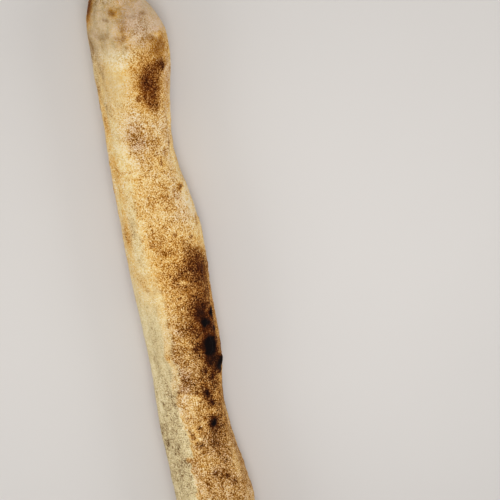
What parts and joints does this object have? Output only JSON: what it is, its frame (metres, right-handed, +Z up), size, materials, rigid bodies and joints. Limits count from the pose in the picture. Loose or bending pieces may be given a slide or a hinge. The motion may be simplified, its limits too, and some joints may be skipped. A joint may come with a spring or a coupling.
{
  "type": "pizza bread stick",
  "caption": "Hand-stretched stick of baked pizza dough with a browned, blistered crust, lying on its flat underside.",
  "frame": {"origin": "on the resting plane, under the middle of the stick", "axes": "+X along the stick to its tip, +Y to its pale side, -Y to its more toasted side, +Z up, with the browned face up"},
  "size_m": [0.28, 0.031, 0.0238],
  "materials": {
    "toasted_crust": "matt baked crust, from ivory through gold to brown, with charred spots"
  },
  "bodies": {
    "root": {"bread_stick": "toasted_crust"}
  },
  "joints": []
}
